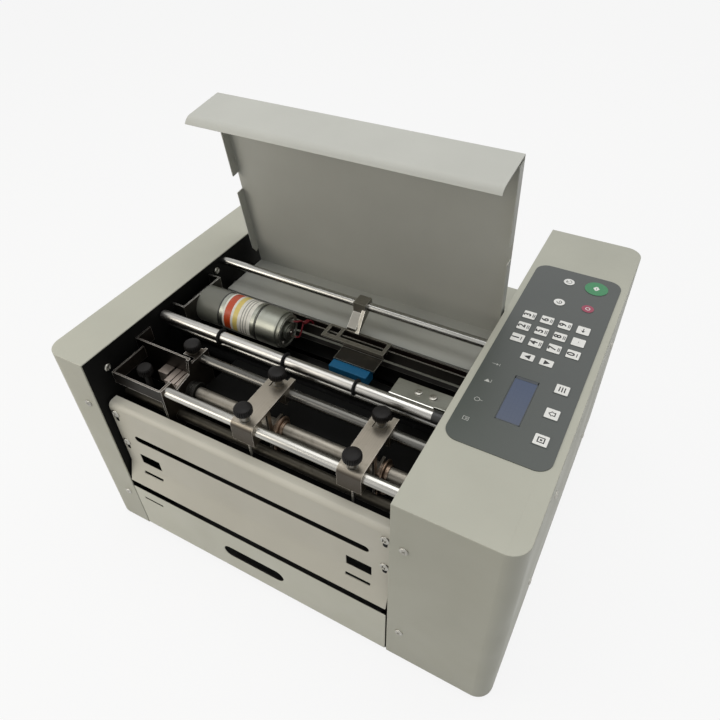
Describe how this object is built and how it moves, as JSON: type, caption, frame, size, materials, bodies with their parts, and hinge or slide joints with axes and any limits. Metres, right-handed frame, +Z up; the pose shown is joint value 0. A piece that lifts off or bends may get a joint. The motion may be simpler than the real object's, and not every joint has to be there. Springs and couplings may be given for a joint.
{
  "type": "electric card cutter",
  "caption": "Desktop electric card cutter: two sheet-metal end boxes, open hinged lid, slitter and knife mechanism on rods, control panel and waste drawer.",
  "frame": {"origin": "centre of the footprint on the floor under the rubber feet", "axes": "+X to the right seen from the front, +Y from the front to the rear, +Z up; lid shown open"},
  "size_m": [0.5089, 0.464, 0.4641],
  "materials": {
    "housing_grey": "satin warm grey paint",
    "base_dark": "matt dark paint",
    "frame_black": "matt black paint",
    "foot_rubber": "matt",
    "screw_steel": "zinc plated",
    "overlay_grey": "satin printed film",
    "display_blue": "glossy",
    "board_green": "solder mask",
    "supply_steel": "plain steel case",
    "inlet_black": "moulded",
    "rod_chrome": "ground and plated",
    "bar_dark": "blackened",
    "bracket_nickel": "nickel plated",
    "bearing_bronze": "bronze",
    "plate_silver": "plain",
    "shaft_grey": "ground",
    "knob_black": "knurled",
    "ring_rubber": "matt",
    "gearbox_olive": "satin",
    "motor_silver": "plated",
    "motor_black": "moulded",
    "lead_red": "insulated wire",
    "blade_steel": "ground",
    "sensor_blue": "moulded"
  },
  "bodies": {
    "housing": {"left_cover": "housing_grey", "right_cover": "housing_grey", "front_panel": "housing_grey", "rear_panel": "housing_grey", "feed_table": "housing_grey", "base_plate": "base_dark", "left_side_plate": "frame_black", "right_side_plate": "frame_black", "guide_plate": "frame_black", "feet": "foot_rubber", "screws": "screw_steel", "lid_pins": "screw_steel", "control_overlay": "overlay_grey", "lcd_display": "display_blue", "control_board": "board_green", "power_supply": "supply_steel", "power_inlet": "inlet_black", "rear_rod": "rod_chrome", "slitter_rods": "rod_chrome", "cross_bar": "bar_dark", "channel_beam": "bar_dark", "knife_guides": "bar_dark", "end_bracket": "bracket_nickel", "motor_bracket": "bracket_nickel", "bearing_block": "bearing_bronze", "bearing_plate": "plate_silver", "timing_belt": "ring_rubber", "gearbox": "gearbox_olive", "motor_can": "motor_silver", "motor_cap": "motor_black", "drive_motor": "motor_black", "motor_leads": "lead_red", "fixed_blade": "blade_steel"},
    "lid": {"lid": "housing_grey"},
    "drawer": {"waste_drawer": "housing_grey"},
    "left_slitter": {"left_slitter_bracket": "bracket_nickel"},
    "right_slitter": {"right_slitter_bracket": "bracket_nickel"},
    "left_cutter_upper": {"left_upper_cutter": "bearing_bronze"},
    "left_cutter_lower": {"left_lower_cutter": "bearing_bronze"},
    "right_cutter_upper": {"right_upper_cutter": "bearing_bronze"},
    "right_cutter_lower": {"right_lower_cutter": "bearing_bronze"},
    "knob_left_front": {"left_front_knob": "knob_black"},
    "knob_left_back": {"left_back_knob": "knob_black"},
    "knob_right_front": {"right_front_knob": "knob_black"},
    "knob_right_back": {"right_back_knob": "knob_black"},
    "knob_end": {"end_knob": "knob_black"},
    "sensor": {"sensor_carriage": "bracket_nickel", "sensor_body": "sensor_blue"},
    "roller_feed": {"feed_roller": "shaft_grey"},
    "roller_pinch": {"pinch_roller": "rod_chrome"},
    "roller_exit": {"exit_roller": "bar_dark"},
    "roller_transport": {"transport_roller": "rod_chrome", "rubber_rings": "ring_rubber"},
    "shaft_upper": {"upper_slitter_shaft": "shaft_grey"},
    "shaft_lower": {"lower_slitter_shaft": "shaft_grey"},
    "pulley": {"drive_pulley": "shaft_grey"},
    "crank": {"crank": "shaft_grey"},
    "knife": {"knife_blade": "blade_steel", "knife_yoke": "bar_dark"},
    "rocker": {"rocker_switch": "inlet_black"}
  },
  "joints": [
    {"name": "lid_hinge", "type": "hinge", "parent": "housing", "child": "lid", "pos_m": [-0.0315, 0.0076, 0.2315], "axis": [1, 0, 0], "range_deg": [0, 82]},
    {"name": "drawer_slide", "type": "slide", "parent": "housing", "child": "drawer", "axis": [0, -1, 0], "range_m": [0, 0.22]},
    {"name": "left_slitter_slide", "type": "slide", "parent": "housing", "child": "left_slitter", "axis": [1, 0, 0], "range_m": [-0.06, 0.035]},
    {"name": "right_slitter_slide", "type": "slide", "parent": "housing", "child": "right_slitter", "axis": [1, 0, 0], "range_m": [-0.04, 0.025]},
    {"name": "sensor_slide", "type": "slide", "parent": "housing", "child": "sensor", "axis": [1, 0, 0], "range_m": [-0.01, 0.03]},
    {"name": "feed_roller_spin", "type": "hinge", "parent": "housing", "child": "roller_feed", "pos_m": [-0.0315, -0.08, 0.20023], "axis": [1, 0, 0], "continuous": true},
    {"name": "pinch_roller_spin", "type": "hinge", "parent": "housing", "child": "roller_pinch", "pos_m": [-0.0315, -0.08, 0.21853], "axis": [1, 0, 0], "continuous": true},
    {"name": "exit_roller_spin", "type": "hinge", "parent": "housing", "child": "roller_exit", "pos_m": [-0.0315, -0.19, 0.213], "axis": [1, 0, 0], "continuous": true},
    {"name": "transport_roller_spin", "type": "hinge", "parent": "housing", "child": "roller_transport", "pos_m": [-0.0315, -0.116, 0.267], "axis": [1, 0, 0], "continuous": true},
    {"name": "lower_shaft_spin", "type": "hinge", "parent": "housing", "child": "shaft_lower", "pos_m": [-0.0315, -0.168, 0.208], "axis": [1, 0, 0], "continuous": true},
    {"name": "upper_shaft_spin", "type": "hinge", "parent": "housing", "child": "shaft_upper", "pos_m": [-0.0315, -0.168, 0.23], "axis": [1, 0, 0], "continuous": true},
    {"name": "drive_pulley_spin", "type": "hinge", "parent": "housing", "child": "pulley", "pos_m": [0.149, -0.12, 0.118], "axis": [1, 0, 0], "continuous": true},
    {"name": "left_upper_cutter_spin", "type": "hinge", "parent": "left_slitter", "child": "left_cutter_upper", "pos_m": [-0.012, -0.168, 0.23], "axis": [1, 0, 0], "continuous": true},
    {"name": "left_lower_cutter_spin", "type": "hinge", "parent": "left_slitter", "child": "left_cutter_lower", "pos_m": [-0.012, -0.168, 0.208], "axis": [1, 0, 0], "continuous": true},
    {"name": "left_front_knob_turn", "type": "hinge", "parent": "left_slitter", "child": "knob_left_front", "pos_m": [-0.029, -0.198, 0.27], "axis": [0, 0, 1], "range_deg": [-180, 360]},
    {"name": "left_back_knob_turn", "type": "hinge", "parent": "left_slitter", "child": "knob_left_back", "pos_m": [-0.029, -0.1425, 0.27], "axis": [0, 0, 1], "range_deg": [-180, 360]},
    {"name": "right_upper_cutter_spin", "type": "hinge", "parent": "right_slitter", "child": "right_cutter_upper", "pos_m": [0.103, -0.168, 0.23], "axis": [1, 0, 0], "continuous": true},
    {"name": "right_lower_cutter_spin", "type": "hinge", "parent": "right_slitter", "child": "right_cutter_lower", "pos_m": [0.103, -0.168, 0.208], "axis": [1, 0, 0], "continuous": true},
    {"name": "right_front_knob_turn", "type": "hinge", "parent": "right_slitter", "child": "knob_right_front", "pos_m": [0.086, -0.198, 0.27], "axis": [0, 0, 1], "range_deg": [-180, 360]},
    {"name": "right_back_knob_turn", "type": "hinge", "parent": "right_slitter", "child": "knob_right_back", "pos_m": [0.086, -0.1425, 0.27], "axis": [0, 0, 1], "range_deg": [-180, 360]},
    {"name": "end_knob_turn", "type": "hinge", "parent": "housing", "child": "knob_end", "pos_m": [-0.137, -0.1425, 0.27], "axis": [0, 0, 1], "range_deg": [-180, 360]},
    {"name": "knife_drop", "type": "slide", "parent": "housing", "child": "knife", "axis": [0, 0, -1], "range_m": [0, 0.01]},
    {"name": "crank_turn", "type": "hinge", "parent": "housing", "child": "crank", "pos_m": [-0.188, -0.0605, 0.251], "axis": [1, 0, 0], "range_deg": [0, 180]},
    {"name": "rocker_turn", "type": "hinge", "parent": "housing", "child": "rocker", "pos_m": [0.1925, 0.2255, 0.046], "axis": [1, 0, 0], "range_deg": [0, 16]}
  ],
  "couplings": [
    {"joint": "drive_pulley_spin", "follows": "feed_roller_spin", "ratio": 1},
    {"joint": "exit_roller_spin", "follows": "feed_roller_spin", "ratio": 1.25},
    {"joint": "pinch_roller_spin", "follows": "feed_roller_spin", "ratio": -1.25},
    {"joint": "lower_shaft_spin", "follows": "feed_roller_spin", "ratio": 0.83333},
    {"joint": "upper_shaft_spin", "follows": "feed_roller_spin", "ratio": -0.83333},
    {"joint": "left_lower_cutter_spin", "follows": "feed_roller_spin", "ratio": 0.83333},
    {"joint": "left_upper_cutter_spin", "follows": "feed_roller_spin", "ratio": -0.83333},
    {"joint": "right_lower_cutter_spin", "follows": "feed_roller_spin", "ratio": 0.83333},
    {"joint": "right_upper_cutter_spin", "follows": "feed_roller_spin", "ratio": -0.83333},
    {"joint": "crank_turn", "follows": "knife_drop", "rad_per_m": 314.1}
  ]
}
